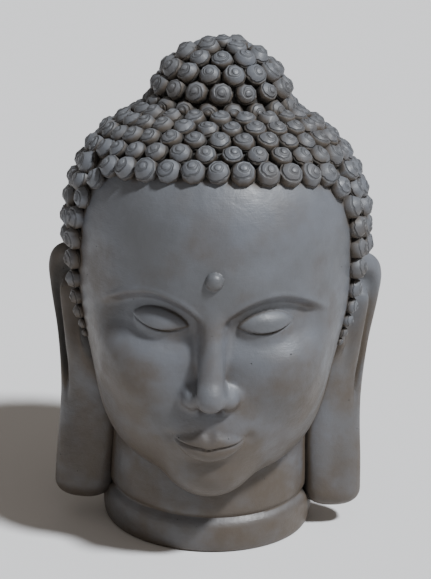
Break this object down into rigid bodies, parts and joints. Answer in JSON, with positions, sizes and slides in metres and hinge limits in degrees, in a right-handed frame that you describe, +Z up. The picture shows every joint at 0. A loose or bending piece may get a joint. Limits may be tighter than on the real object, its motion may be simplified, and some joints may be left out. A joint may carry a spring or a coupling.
{
  "type": "stone buddha head",
  "caption": "Cast stone Buddha head with downcast eyes, a cap of snail curls over a crown bump, long ears joined to a creased neck, and a flat underside.",
  "frame": {"origin": "centre of the footprint of the whole head, on the plane of the underside", "axes": "+Z up through the neck to the crown bump, the face looks along -Y, the head's left ear is towards +X"},
  "size_m": [0.3392, 0.353, 0.4999],
  "materials": {
    "stone": "dark blue-grey cast stone, matt with a faint sheen where it is worn smooth, warm brown dust in the hollows"
  },
  "bodies": {
    "root": {"buddha_head": "stone"}
  },
  "joints": []
}
